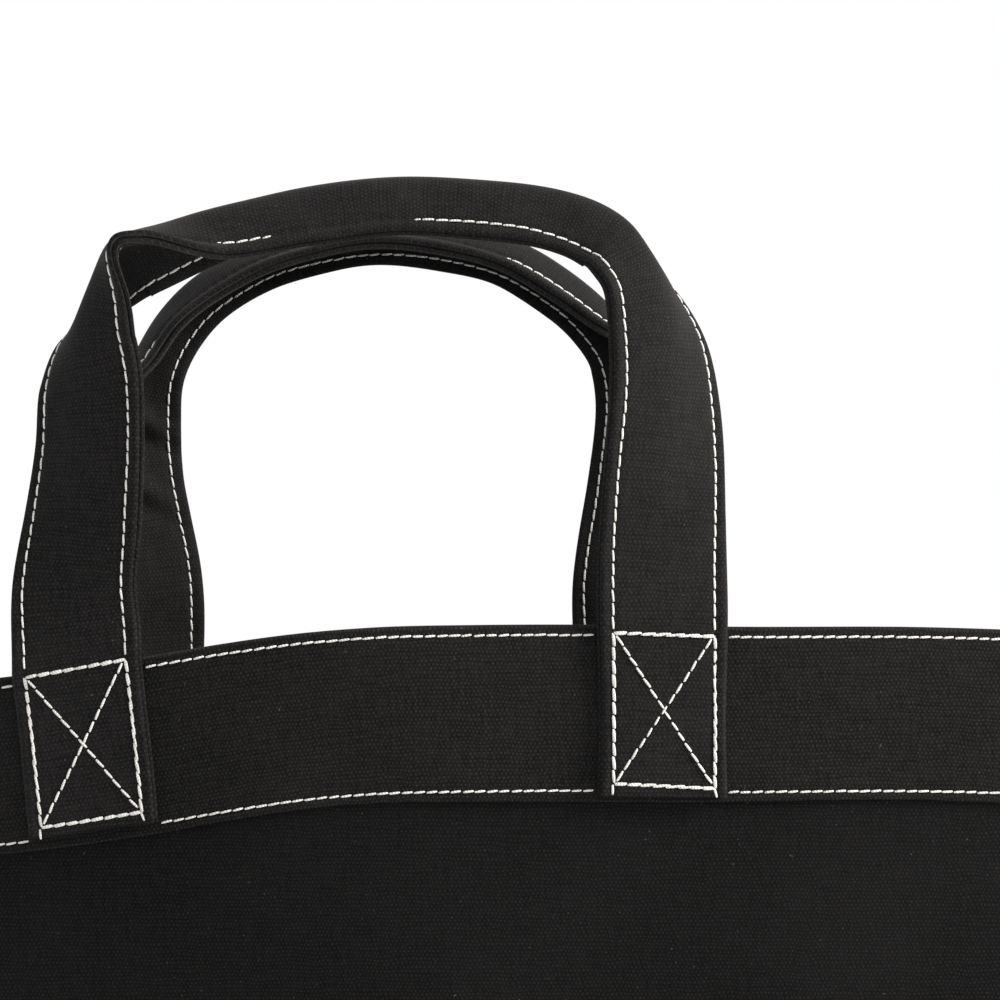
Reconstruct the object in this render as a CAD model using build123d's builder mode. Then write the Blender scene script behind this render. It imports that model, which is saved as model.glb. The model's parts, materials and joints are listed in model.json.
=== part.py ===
from build123d import *
from math import cos, radians, sin, tan
import os

# A canvas garden tool bag: an open tote with a folded rim band and two sewn strap handles.
# X runs to the right as seen from the front, Y to the back and Z up, in millimetres. The
# origin is on the ground under the middle of the bag.

# Body
HEIGHT = 300  # ground to rim at the middle of the front and of the back
BASE_WIDTH = 430
BASE_DEPTH = 160
MOUTH_DEPTH = 236  # front to back at the middle of the open mouth
PANEL_HALF = 220  # rim length from the middle of the front or back to a corner
FRONT_BEND = 8  # degrees that each half of the front turns back from its middle
BACK_BEND = 12
SIDE_TUCK = 8  # how far each side is drawn in at the middle of its rim
CANVAS = 1.6
LAYER_GAP = 0.4  # air between layers of cloth that are sewn together

# How far the rim has sunk below HEIGHT, at distances along each wall from its middle.
# Negative distances are to the left of someone who looks at the wall from outside.
FRONT_DROOP = ((-220, 24), (-108, 16), (0, 0), (108, 1), (220, 3))
BACK_DROOP = ((-220, 5), (-108, 2), (0, 0), (108, 11), (220, 18))
LEFT_DROOP = ((-80, 18), (0, 26), (80, 24))
RIGHT_DROOP = ((-80, 3), (0, 6), (80, 5))

# Rim band, a strip folded over the top edge of each panel
BAND_WIDTH = 50
BAND_LEAF = 1.6
UPPER_ROW = 3  # stitch rows, below the rim
LOWER_ROW = 47
CORNER_MARGIN = 4  # stitch rows stop this far from a corner

# Strap handles, each of two strips sewn face to face
STRAP_WIDTH = 38
STRIP = 1.9
FRONT_LEG = 85  # middle of a leg, along the wall from its middle
BACK_LEG = 81
EDGE_ROW = 4  # stitch rows, in from the strap's edges
THREAD_WIDTH = 0.8
THREAD_PROUD = 0.5
LEAST_FOLD = 2  # degrees that each half of a strap is folded in where it lies flat

# Handle hinges: each handle bends over a line just outside its straps and above the rim
HINGE_ABOVE_RIM = 2
HINGE_MARGIN = 0.6
INWARD_BEVEL = 43  # degrees of inward swing that the cut feet of the legs leave room for

# Vertical seams inside the corners
BINDING_WIDTH = 8
BINDING_THICKNESS = 1.5
BINDING_INSET = 6  # from the corner of the walls to the outer edge of the tape

# Layers of the wall, as offsets outwards from the outer face of the panels
BAND_INNER = -CANVAS - LAYER_GAP - BAND_LEAF
BAND_OUTER = LAYER_GAP + BAND_LEAF
BACKING_INNER = BAND_OUTER + LAYER_GAP
BACKING_OUTER = BACKING_INNER + STRIP
FACING_INNER = BACKING_OUTER + LAYER_GAP
FACING_OUTER = FACING_INNER + STRIP


def bent_corner(side, bend):
    """The corner of the mouth at the end of a front or back half that turns back by bend."""
    return side * PANEL_HALF * cos(radians(bend)), PANEL_HALF * sin(radians(bend))


def rim_outline():
    """Eight points round the mouth, anticlockwise from the front left corner."""
    front_x, front_back = bent_corner(1, FRONT_BEND)
    back_x, back_forward = bent_corner(1, BACK_BEND)
    front_y = -MOUTH_DEPTH / 2 + front_back
    back_y = MOUTH_DEPTH / 2 - back_forward
    side_x = (front_x + back_x) / 2 - SIDE_TUCK
    side_y = (front_y + back_y) / 2
    return [
        Vector(-front_x, front_y, HEIGHT),
        Vector(0, -MOUTH_DEPTH / 2, HEIGHT),
        Vector(front_x, front_y, HEIGHT),
        Vector(side_x, side_y, HEIGHT),
        Vector(back_x, back_y, HEIGHT),
        Vector(0, MOUTH_DEPTH / 2, HEIGHT),
        Vector(-back_x, back_y, HEIGHT),
        Vector(-side_x, side_y, HEIGHT),
    ]


def base_outline():
    """The same eight points round the base, where every wall is straight."""
    x, y = BASE_WIDTH / 2, BASE_DEPTH / 2
    corners = [(-x, -y), (0, -y), (x, -y), (x, 0), (x, y), (0, y), (-x, y), (-x, 0)]
    return [Vector(*corner, 0) for corner in corners]


def outward(start, end):
    """The level unit vector that points out of an anticlockwise outline's edge."""
    along = end - start
    return Vector(along.Y, -along.X, 0).normalized()


def mitre(outline, index):
    """The level vector by which a vertex moves when its two edges move out by 1."""
    before = outward(outline[index - 1], outline[index])
    after = outward(outline[index], outline[(index + 1) % len(outline)])
    return (before + after) * (1 / (1 + before.dot(after)))


class Wall:
    """One side of the bag: three vertices of each outline, and how its rim sinks."""

    def __init__(self, indices, droop):
        base, rim = base_outline(), rim_outline()
        self.base = [base[i] for i in indices]
        self.rim = [rim[i] for i in indices]
        self.mitres = [(mitre(base, i) + mitre(rim, i)) * 0.5 for i in indices]
        self.droop = droop
        self.reach = droop[-1][0]  # from the middle to either corner

    def rim_height(self, distance):
        """The height of the rim at a distance along the wall from its middle."""
        for (near, near_drop), (far, far_drop) in zip(self.droop, self.droop[1:]):
            if distance <= far:
                share = (distance - near) / (far - near)
                return HEIGHT - near_drop - (far_drop - near_drop) * share

    def between(self, values, distance):
        """A value given at both corners and the middle, at a distance along the wall."""
        end = values[0] if distance < 0 else values[2]
        return values[1] + (end - values[1]) * abs(distance / self.reach)

    def out(self, distance):
        """The level direction in which layers lie on each other: mitred where walls meet."""
        if distance in (-self.reach, 0, self.reach):
            return self.between(self.mitres, distance)
        half = 0 if distance < 0 else 1
        return outward(self.rim[half], self.rim[half + 1])

    def point(self, distance, offset, height):
        """A point at a distance along the wall, offset outwards from its panel."""
        foot = self.between(self.base, distance)
        top = self.between(self.rim, distance)
        return foot + (top - foot) * (height / HEIGHT) + self.out(distance) * offset

    def stations(self, start, end):
        """The distances where the wall or its rim bends, from start to end."""
        bends = [distance for distance, _ in self.droop if start < distance < end]
        return [start, *bends, end]


FRONT = Wall((0, 1, 2), FRONT_DROOP)
RIGHT = Wall((2, 3, 4), RIGHT_DROOP)
BACK = Wall((4, 5, 6), BACK_DROOP)
LEFT = Wall((6, 7, 0), LEFT_DROOP)
WALLS = {"front": FRONT, "right": RIGHT, "back": BACK, "left": LEFT}


def save(piece, name):
    """Name a finished piece and write its file."""
    piece.label = name
    export_step(piece, f"parts/{name}.step")


def outline(points):
    """A closed outline through points in space that lie in one plane."""
    first, second, last = points[0], points[1], points[-1]
    plane = Plane(first, x_dir=second - first, z_dir=(second - first).cross(first - last))
    with BuildSketch(plane) as section:
        with BuildLine():
            local = [plane.to_local_coords(point) for point in points]
            Polyline(*[(point.X, point.Y) for point in local], close=True)
        make_face()
    return section.sketch


def layer(wall, spans, profile):
    """Cloth or thread along a wall, over each span of distances from its middle.

    profile takes the rim's height and gives the (offset, height) corners of the section.
    """
    with BuildPart() as cloth:
        for start, end in spans:
            sections = []
            for distance in wall.stations(start, end):
                corners = profile(wall.rim_height(distance))
                points = [wall.point(distance, *corner) for corner in corners]
                sections.append(outline(points))
            loft(sections, ruled=True)
    return cloth.part


def panel_profile(rim):
    top = rim - BAND_LEAF - LAYER_GAP
    return (0, CANVAS), (0, top), (-CANVAS, top), (-CANVAS, CANVAS)


def band_profile(rim):
    foot, fold = rim - BAND_WIDTH, rim - BAND_LEAF
    return (
        (BAND_OUTER, foot),
        (BAND_OUTER, rim),
        (BAND_INNER, rim),
        (BAND_INNER, foot),
        (BAND_INNER + BAND_LEAF, foot),
        (BAND_INNER + BAND_LEAF, fold),
        (BAND_OUTER - BAND_LEAF, fold),
        (BAND_OUTER - BAND_LEAF, foot),
    )


def row_profile(below):
    """Section of a stitch row on the band, a distance below the rim."""
    low, high = below + THREAD_WIDTH / 2, below - THREAD_WIDTH / 2
    inner, outer = BACKING_INNER, BACKING_INNER + THREAD_PROUD
    return lambda rim: ((outer, rim - low), (outer, rim - high), (inner, rim - high), (inner, rim - low))


def strap_profile(inner, outer):
    """Section of a strip of strap that lies on the band, flush with its lower edge."""
    return lambda rim: ((outer, rim - BAND_WIDTH), (outer, rim), (inner, rim), (inner, rim - BAND_WIDTH))


def row_spans(wall, leg):
    """Where the rim's stitch rows run: up to the corners, but not under a handle's legs."""
    end = wall.reach - CORNER_MARGIN
    if leg is None:
        return [(-end, end)]
    inner, outer = leg - STRAP_WIDTH / 2, leg + STRAP_WIDTH / 2
    return [(-end, -outer), (-inner, inner), (outer, end)]


def leg_span(leg, side):
    """The stretch of wall under one leg, on side -1 or 1 of the middle."""
    return tuple(sorted((side * (leg - STRAP_WIDTH / 2), side * (leg + STRAP_WIDTH / 2))))


def base_panel():
    with BuildPart() as base:
        with BuildSketch():
            Rectangle(BASE_WIDTH, BASE_DEPTH)
        extrude(amount=CANVAS)
    return base.part


def corner_binding(wall):
    """The tape over the seam inside the corner that starts a wall."""
    with BuildPart() as tape:
        for height in (CANVAS, wall.rim_height(-wall.reach) - BAND_WIDTH):
            corner = wall.point(-wall.reach, 0, height)
            inwards = wall.mitres[0].normalized() * -1
            middle = corner + inwards * (BINDING_INSET + BINDING_WIDTH / 2)
            with BuildSketch(Plane(middle, x_dir=inwards, z_dir=(0, 0, 1))):
                Rectangle(BINDING_WIDTH, BINDING_THICKNESS)
        loft(ruled=True)
    return tape.part


def box_stitching(wall, leg, side):
    """Thread sewn through the end of a leg: a box with both of its diagonals."""
    distance = side * leg
    middle_height = wall.rim_height(distance) - BAND_WIDTH / 2
    surface = FACING_OUTER + LAYER_GAP
    low = wall.point(distance, surface, middle_height - 1)
    high = wall.point(distance, surface, middle_height + 1)
    beside = wall.point(distance + 1, surface, middle_height)
    right = beside - (low + high) * 0.5
    rise = wall.rim_height(distance + 1) - wall.rim_height(distance - 1)
    right = right + (high - low) * (rise / 4)  # the rows run beside a sloping rim
    plane = Plane((low + high) * 0.5, x_dir=right, z_dir=right.cross(high - low))
    width = STRAP_WIDTH - 2 * EDGE_ROW
    height = UPPER_ROW - LOWER_ROW
    corner = Vector(width / 2, height / 2)
    with BuildPart() as stitching:
        with BuildSketch(plane):
            Rectangle(width + THREAD_WIDTH, abs(height) + THREAD_WIDTH)
            Rectangle(width - THREAD_WIDTH, abs(height) - THREAD_WIDTH, mode=Mode.SUBTRACT)
            for mirrored in (-1, 1):
                end = Vector(corner.X, corner.Y * mirrored)
                with BuildLine():
                    Line(end * -1, end)
                trace(line_width=THREAD_WIDTH)
        extrude(amount=THREAD_PROUD)
    return stitching.part


class Handle:
    """A strap loop above one wall, worked out as seen from outside that wall.

    half_loop gives the crease down the middle of the strap from the top of the arch to the
    right leg: how far across, how high, the degrees by which the strap's face has turned
    from facing out of the wall to facing out of the arch, and by which each half folds in.
    """

    def __init__(self, wall, leg, bend, turned, half_loop, arch_out):
        self.wall, self.leg, self.turned = wall, leg, turned
        self.feet = {side: self.foot(side) for side in (-1, 1)}
        left = [(-across, *rest) for across, *rest in reversed(half_loop[1:])]
        path = [self.feet_station(-1, bend), *left, *half_loop, self.feet_station(1, bend)]
        outer_y = self.feet[1].Y
        top = half_loop[0][1]
        self.path = []
        for across, height, turn, fold in path:
            rise = max(0, (height - self.feet[1].Z) / (top - self.feet[1].Z))
            self.path.append((Vector(across, outer_y + arch_out * rise, height), turn, fold))

    def local(self, point):
        """Turn a point between the bag's frame and this wall's outside view."""
        return Vector(-point.X, -point.Y, point.Z) if self.turned else point

    def foot(self, side):
        """The middle of a leg's outer face at the rim, in the wall's outside view."""
        distance = side * self.leg
        rim = self.wall.rim_height(distance)
        return self.local(self.wall.point(distance, FACING_OUTER, rim))

    def feet_station(self, side, bend):
        foot = self.feet[side]
        return foot.X, foot.Z, bend, LEAST_FOLD

    def hinge(self):
        """A point on the hinge line at the middle of the bag, and the line's direction."""
        left, right = self.feet[-1], self.feet[1]
        face_turn = self.wall.out(self.leg)
        swing = STRAP_WIDTH / 2 * abs(face_turn.X)
        middle = (left + right) * 0.5
        point = Vector(0, middle.Y - swing - HINGE_MARGIN, middle.Z + HINGE_ABOVE_RIM)
        return point, (right - left).normalized()

    def corner(self, index, along, depth):
        """A point of the strap's section: along from the crease, and depth under its face.

        along is positive towards the edge that is nearer the other leg at the rim.
        """
        crease, turn, fold = self.path[index]
        before = self.path[max(index - 1, 0)][0]
        after = self.path[min(index + 1, len(self.path) - 1)][0]
        facing = Vector(0, -1, 0)
        arch_out = facing.cross((after - before).normalized()).normalized()
        turn, fold = radians(turn), radians(fold)
        face = facing * cos(turn) + arch_out * sin(turn)
        inner = facing * sin(turn) - arch_out * cos(turn)
        if along == 0:
            return self.local(crease - face * (depth / cos(fold)))
        side = 1 if along > 0 else -1
        down_half = inner * (cos(fold) * side) - face * sin(fold)
        off_half = face * cos(fold) + inner * (sin(fold) * side)
        return self.local(crease + down_half * abs(along) - off_half * depth)

    def strip(self, section):
        """A strip or a thread that follows the whole loop, its feet cut along the hinge."""
        stations = range(len(self.path))
        outlines = [outline([self.corner(i, *spot) for spot in section]) for i in stations]
        with BuildPart() as piece:
            loft(outlines, ruled=True)
            split(bisect_by=self.bevel_plane(), keep=Keep.TOP)
        return piece.part

    def bevel_plane(self):
        """The plane through the hinge line that the feet of the legs are cut along."""
        point, direction = self.hinge()
        level = Vector(0, cos(radians(INWARD_BEVEL)), sin(radians(INWARD_BEVEL)))
        origin, x_dir, y_dir = self.local(point), self.local(direction), self.local(level)
        return Plane(origin, x_dir=x_dir, z_dir=x_dir.cross(y_dir))


def strip_section(depth, thickness):
    """Corners of one strip of a strap, creased down its middle."""
    half, under = STRAP_WIDTH / 2, depth + thickness
    return (half, depth), (0, depth), (-half, depth), (-half, under), (0, under), (half, under)


def thread_section(side):
    """Corners of a stitch row beside one edge of a strap, standing on its face."""
    row = side * (STRAP_WIDTH / 2 - EDGE_ROW)
    low, high = row - THREAD_WIDTH / 2, row + THREAD_WIDTH / 2
    return (low, 0), (high, 0), (high, -THREAD_PROUD), (low, -THREAD_PROUD)


FRONT_LOOP = (
    (0, 431, 90, 62),
    (35, 428.5, 90, 61),
    (64, 422.5, 88, 58),
    (77, 414, 80, 50),
    (84, 403, 66, 38),
    (86.5, 388, 50, 26),
    (86.5, 365, 33, 14),
    (85.5, 335, 16, 5),
)
BACK_LOOP = (
    (0, 445, 90, 45),
    (25, 443, 90, 45),
    (48, 435, 88, 42),
    (66, 424, 82, 38),
    (78, 410, 70, 32),
    (84.5, 392, 52, 22),
    (85, 368, 34, 12),
    (83, 335, 18, 4),
)
HANDLES = {
    "front": Handle(FRONT, FRONT_LEG, FRONT_BEND, False, FRONT_LOOP, 4),
    "back": Handle(BACK, BACK_LEG, BACK_BEND, True, BACK_LOOP, 4),
}

os.makedirs("parts", exist_ok=True)

save(base_panel(), "base_panel")
for place, wall in WALLS.items():
    whole = [(-wall.reach, wall.reach)]
    leg = HANDLES[place].leg if place in HANDLES else None
    save(layer(wall, whole, panel_profile), f"{place}_panel")
    save(layer(wall, whole, band_profile), f"{place}_rim_band")
    rows = row_spans(wall, leg)
    save(layer(wall, rows, row_profile(UPPER_ROW)), f"{place}_rim_upper_stitching")
    save(layer(wall, rows, row_profile(LOWER_ROW)), f"{place}_rim_lower_stitching")

CORNERS = {"front_left": FRONT, "front_right": RIGHT, "back_right": BACK, "back_left": LEFT}
for place, wall in CORNERS.items():
    save(corner_binding(wall), f"{place}_seam_binding")

for place, handle in HANDLES.items():
    wall, leg = handle.wall, handle.leg
    for side in (-1, 1):
        on_right = (side == 1) != handle.turned
        end = f"{place}_handle_{'right' if on_right else 'left'}_end"
        span = [leg_span(leg, side)]
        backing = strap_profile(BACKING_INNER, BACKING_OUTER)
        facing = strap_profile(FACING_INNER, FACING_OUTER)
        save(layer(wall, span, backing), f"{end}_backing")
        save(layer(wall, span, facing), f"{end}_facing")
        save(box_stitching(wall, leg, side), f"{end}_box_stitching")
    save(handle.strip(strip_section(0, STRIP)), f"{place}_handle_loop_facing")
    save(handle.strip(strip_section(STRIP + LAYER_GAP, STRIP)), f"{place}_handle_loop_backing")
    save(handle.strip(thread_section(1)), f"{place}_handle_inner_edge_stitching")
    save(handle.strip(thread_section(-1)), f"{place}_handle_outer_edge_stitching")
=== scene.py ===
import json
import math

import bpy
import numpy as np
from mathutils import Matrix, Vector


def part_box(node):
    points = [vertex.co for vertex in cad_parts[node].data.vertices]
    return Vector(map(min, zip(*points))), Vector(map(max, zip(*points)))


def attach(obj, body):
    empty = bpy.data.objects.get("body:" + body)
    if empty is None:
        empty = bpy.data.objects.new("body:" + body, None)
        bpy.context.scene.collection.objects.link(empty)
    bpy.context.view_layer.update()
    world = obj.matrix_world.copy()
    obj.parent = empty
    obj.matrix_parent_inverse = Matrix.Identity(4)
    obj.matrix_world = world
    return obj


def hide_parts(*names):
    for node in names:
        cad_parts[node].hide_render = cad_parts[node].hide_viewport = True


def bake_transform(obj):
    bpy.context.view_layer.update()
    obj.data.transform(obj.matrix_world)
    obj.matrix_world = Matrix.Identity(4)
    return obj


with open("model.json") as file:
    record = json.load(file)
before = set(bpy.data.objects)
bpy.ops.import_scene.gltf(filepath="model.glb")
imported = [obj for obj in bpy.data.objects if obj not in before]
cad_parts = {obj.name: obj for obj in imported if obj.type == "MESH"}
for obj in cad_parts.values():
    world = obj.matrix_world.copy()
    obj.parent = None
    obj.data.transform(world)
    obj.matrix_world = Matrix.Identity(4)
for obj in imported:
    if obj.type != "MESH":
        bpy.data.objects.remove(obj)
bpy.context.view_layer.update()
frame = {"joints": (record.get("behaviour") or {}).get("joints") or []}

# A black canvas garden tool bag. Lengths are in metres. Each wall of the bag is measured by the
# distance along it from its middle, positive to the right of someone who looks at it from
# outside, and by the height over the ground.
MM = 0.001
CHANCE = np.random.default_rng(11)


def node_high(node, axis):
    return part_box(node)[1][axis]


# Sizes of the bag
BASE_HALF_WIDTH = node_high("base_panel", 0)
BASE_HALF_DEPTH = node_high("base_panel", 1)
MOUTH_HALF_DEPTH = node_high("back_panel", 1)
RIM_HEIGHT = 300 * MM
PANEL_HALF = 220 * MM
SIDE_HALF = 80 * MM
FRONT_BEND = math.radians(8)
BACK_BEND = math.radians(12)
SIDE_TUCK = 8 * MM
SOFT_BEND = 34 * MM  # the front and back turn at their middles over about this far
CORNER_ROUND = 20 * MM
BASE_ROUND = 13 * MM
BELLY = 8 * MM

# How far the rim has sunk, in millimetres, at distances along each wall
FRONT_DROOP = ((-220, 21), (-160, 18.6), (-108, 14.0), (-66, 8.3), (-47, 5.2), (-21, 1.8), (0, 0.2),
               (30, -0.6), (60, -0.9), (108, -0.6), (160, -0.9), (220, 0.6))
RIGHT_DROOP = ((-80, 3), (-40, 5), (0, 6), (40, 5.8), (80, 5))
BACK_DROOP = ((-220, 5), (-108, 2), (0, 0), (50, 3), (108, 11), (170, 17), (220, 18))
LEFT_DROOP = ((-80, 18), (-40, 23), (0, 26), (40, 25.5), (80, 23))

# Cloth layers, outwards from the outer face of a wall's panel
PANEL_CLOTH = 1.3 * MM
LEAF = 1.5 * MM
LEAF_FACE = 1.9 * MM
LEAF_INSIDE = -3.2 * MM
STRIP = 1.9 * MM
STRAP_FACE = 6.2 * MM
BACKING_DEPTH = 2.1 * MM
BAND_WIDTH = 50.8 * MM

# Panels, bands and the tapes over the corner seams
UNDER_FOLD = 1.2 * MM  # a panel's top edge, under the fold of its band
SEAM_GROOVE = 0.7 * MM
BASE_SAG = 0.5 * MM
TAPE_HALF = 8 * MM  # from the corner, along each wall
TAPE_CORNER = 0.6 * MM  # of that, what the bend at the corner takes
TAPE_CLOTH = 1.5 * MM
TAPE_GAP = 0.2 * MM
TAPE_LOW = 12 * MM

# Stitching
UPPER_ROW = 3.0 * MM
LOWER_ROW = 48.0 * MM
RIM_PITCH = 3.6 * MM
STRAP_PITCH = 4.0 * MM
THREAD = 0.34 * MM  # radius
STITCH_SHARE = 0.92  # of the pitch that a stitch takes
UNEVEN_LENGTH = 0.09 * MM  # by which stitch ends stray along and across their row
UNEVEN_SIDE = 0.05 * MM
SLANT = 0.13 * MM
CORNER_MARGIN = 3 * MM  # rim rows stop this far from a corner
STRAP_MARGIN = 0.5 * MM  # and this far from a strap

# Strap handles
STRAP_ROW = 14.9 * MM  # stitch rows, from the strap's middle
FOOT = 50 * MM  # the end of a strap, below the rim
FACING_HALF = 18.4 * MM
BACKING_HALF = 19.1 * MM
FOLD_REACH = 5.8 * MM  # across a strap, over which its middle is folded
FRONT_FEET = -86.3 * MM, 84.5 * MM  # along the wall
BACK_FEET = -81 * MM, 80 * MM
FRONT_RAISED = 2.6 * MM, 0.5 * MM  # the feet are sewn on this much higher
BOX_LOW = 46.6 * MM  # the lower edge of a sewn box, under its top row's place
CROOKED = 0.3 * MM  # that edge is lower at its right end by this, and higher at its left
FRONT_TILT = 0.035, -0.02  # how much more a foot's box slopes up to the right than the rim
# Where a turned hem hides a row of stitches on an arch, from and to, across, in millimetres. The
# turned hem isn't modelled: the stitches are sunk into the cloth there
BURIED = {("front", "inner"): ((-74, -50), (-31, 11)), ("back", "outer"): ((-40, 78),)}
BURIED_HEIGHT = 398 * MM  # only above this
BURIED_DEPTH = 1.15 * MM
SETTLE = 30 * MM  # above the rim, a leg leaves the wall's plane over this far


# ---------------------------------------------------------------- small tools


def unit(vectors):
    return vectors / np.linalg.norm(vectors, axis=-1, keepdims=True)


def ease(values, start, end):
    """From 0 at start to 1 at end, level at both."""
    share = np.clip((values - start) / (end - start), 0, 1)
    return share * share * (3 - 2 * share)


def curve(knots, at):
    """A smooth curve through rows of knots, (position, value, ...), read at positions."""
    knots = np.asarray(knots, float)
    x, y = knots[:, 0], knots[:, 1:]
    slope = np.gradient(y, x, axis=0)
    at = np.asarray(at, float)
    i = np.clip(np.searchsorted(x, at, side="right") - 1, 0, len(x) - 2)
    step = (x[i + 1] - x[i])[..., None]
    t = np.clip((at - x[i])[..., None] / step, 0, 1)
    rise = slope[i] * step * (t**3 - 2 * t**2 + t) + slope[i + 1] * step * (t**3 - t**2)
    return y[i] + (y[i + 1] - y[i]) * (3 * t**2 - 2 * t**3) + rise


def lengths(points):
    """Distance along a line of points from its first."""
    steps = np.linalg.norm(np.diff(points, axis=0), axis=-1)
    return np.concatenate([[0], np.cumsum(steps)])


def edge_out(start, end):
    """The level unit vector that points out of an edge of an anticlockwise outline."""
    along = end - start
    return unit(np.stack([along[..., 1], -along[..., 0]], -1))


class Waves:
    """Low uneven waves over a surface, as a few crossing sine waves."""

    def __init__(self, count, shortest, longest):
        angles = CHANCE.uniform(0, math.pi, count)
        self.pace = 2 * math.pi / CHANCE.uniform(shortest, longest, count)
        self.across, self.up = np.cos(angles), np.sin(angles)
        self.phase = CHANCE.uniform(0, 2 * math.pi, count)

    def __call__(self, x, y):
        along = x[..., None] * self.across + y[..., None] * self.up
        return np.sin(along * self.pace + self.phase).sum(-1) / math.sqrt(len(self.pace))


# ---------------------------------------------------------------- the shape of the walls


def mouth_outline():
    """Eight points round the mouth, anticlockwise from the front left corner."""
    front_x, back_x = PANEL_HALF * math.cos(FRONT_BEND), PANEL_HALF * math.cos(BACK_BEND)
    front_y = PANEL_HALF * math.sin(FRONT_BEND) - MOUTH_HALF_DEPTH
    back_y = MOUTH_HALF_DEPTH - PANEL_HALF * math.sin(BACK_BEND)
    side_x, side_y = (front_x + back_x) / 2 - SIDE_TUCK, (front_y + back_y) / 2
    return np.array([
        (-front_x, front_y), (0, -MOUTH_HALF_DEPTH), (front_x, front_y), (side_x, side_y),
        (back_x, back_y), (0, MOUTH_HALF_DEPTH), (-back_x, back_y), (-side_x, side_y),
    ])


def base_outline():
    """The same eight points round the base."""
    x, y = BASE_HALF_WIDTH, BASE_HALF_DEPTH
    return np.array([(-x, -y), (0, -y), (x, -y), (x, 0), (x, y), (0, y), (-x, y), (-x, 0)])


class Wall:
    """One side of the bag, between two corners. first is its first vertex in the outlines."""

    def __init__(self, first, reach, droop, lean=0.0, gusset=0.0):
        order = [(first + i) % 8 for i in (-1, 0, 1, 2, 3)]
        self.base, self.mouth = base_outline()[order], mouth_outline()[order]
        self.reach = reach
        self.droop = droop
        self.lean, self.gusset = lean, gusset
        self.broad, self.fine = Waves(5, 150 * MM, 320 * MM), Waves(7, 45 * MM, 110 * MM)
        self.creases = [(side, CHANCE.uniform(0.1, 0.75), CHANCE.uniform(10, 90) * MM,
                         CHANCE.uniform(1.6, 3.2) * MM) for side in (-1, 1, -1, 1)]

    def rim(self, distance):
        return RIM_HEIGHT - curve(self.droop, distance / MM)[..., 0] * MM

    def folds(self, distance, height):
        """How far the cloth stands out of its flat plane, at rest under its own weight."""
        share = distance / self.reach
        still = (1 - share**4) * ease(height, 0, 40 * MM)
        up = np.clip(height / RIM_HEIGHT, 0, 1)
        belly = BELLY * np.sin(math.pi * up**0.6) * (1 - share**2)
        loose = 1 - 0.85 * ease(height, 165 * MM, 240 * MM)
        waves = 3.0 * MM * self.broad(distance, height) + 1.0 * MM * self.fine(distance, height)
        drawn_in = self.gusset * np.exp(-(distance / (26 * MM))**2) * np.sin(math.pi * up)
        return still * (belly + loose * (waves + self.slump(distance, height)) - drawn_in)

    def slump(self, distance, height):
        """Creases where the cloth has sunk on its base: they fan up from the lower corners."""
        total = 0
        for side, angle, away, size in self.creases:
            across = self.reach - distance * side
            line = height - away - across * math.tan(angle)
            length = ease(across, 6 * MM, 35 * MM) * (1 - ease(across, 70 * MM, 190 * MM))
            total = total + size * length * np.exp(-(line / (9 * MM))**2)
            total = total - 0.6 * size * length * np.exp(-((line - 15 * MM) / (11 * MM))**2)
        return total

    def surface(self, distance, height):
        """The panel's outer face, with soft corners and a rounded lower edge."""
        share = np.clip(height / RIM_HEIGHT, 0, 1.25)[..., None]
        before, left, middle, right, after = (
            self.base[i] + (self.mouth[i] - self.base[i]) * share for i in range(5))
        down = np.maximum(self.rim(distance) - height, 0)
        fixed = ease(distance, -PANEL_HALF, -170 * MM) * (1 - ease(distance, -70 * MM, 20 * MM))
        moved = distance + self.lean * down * np.exp(-(down / (120 * MM))**2) * fixed
        part = (moved / self.reach)[..., None]
        bent = (np.sqrt(moved**2 + SOFT_BEND**2) - SOFT_BEND)[..., None]
        bent = bent / (math.sqrt(self.reach**2 + SOFT_BEND**2) - SOFT_BEND)
        level = middle + (right - left) / 2 * part + ((left + right) / 2 - middle) * bent

        turned = (moved / np.sqrt(moved**2 + SOFT_BEND**2))[..., None]
        out = edge_out(left, middle) * (1 - turned) + edge_out(middle, right) * (1 + turned)
        out = unit(out)
        for side, own, other in ((-1, edge_out(left, middle), edge_out(before, left)),
                                 (1, edge_out(middle, right), edge_out(right, after))):
            near = np.clip(1 - (self.reach - distance * side) / CORNER_ROUND, 0, 1)[..., None]
            level = level - CORNER_ROUND / 3 * (near**2 * own + near * other)
        low = np.clip(1 - height / BASE_ROUND, 0, 1)
        seam = np.exp(-((self.reach - np.abs(distance)) / (1.4 * MM))**2)
        away = self.folds(distance, height) - BASE_ROUND / 3 * low**2 - SEAM_GROOVE * seam
        level = level + out * away[..., None]
        return np.concatenate([level, (height + BASE_ROUND / 3 * low)[..., None]], -1)

    def point(self, distance, height, offset=0.0):
        """Points of the wall, moved outwards by an offset, and the directions out of it."""
        distance, height, offset = np.broadcast_arrays(
            *(np.asarray(value, float) for value in (distance, height, offset)))
        step = 0.5 * MM
        here = self.surface(distance, height)
        inwards = np.where(distance > 0, -step, step)
        along = (self.surface(distance + inwards, height) - here) * np.sign(inwards)[..., None]
        rise = self.surface(distance, height + step) - here
        out = unit(np.cross(along, rise))
        corner = np.abs(distance) > self.reach - 0.1 * MM
        out = np.where(corner[..., None], self.corner_out(distance, height), out)
        return here + out * offset[..., None], out

    def corner_out(self, distance, height):
        """The level direction halfway between this wall's and the next wall's."""
        share = np.clip(height / RIM_HEIGHT, 0, 1.25)[..., None]
        before, left, middle, right, after = (
            self.base[i] + (self.mouth[i] - self.base[i]) * share for i in range(5))
        first = edge_out(before, left) + edge_out(left, middle)
        last = edge_out(middle, right) + edge_out(right, after)
        out = unit(np.where((distance < 0)[..., None], first, last))
        return np.concatenate([out, np.zeros_like(out[..., :1])], -1)


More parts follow.
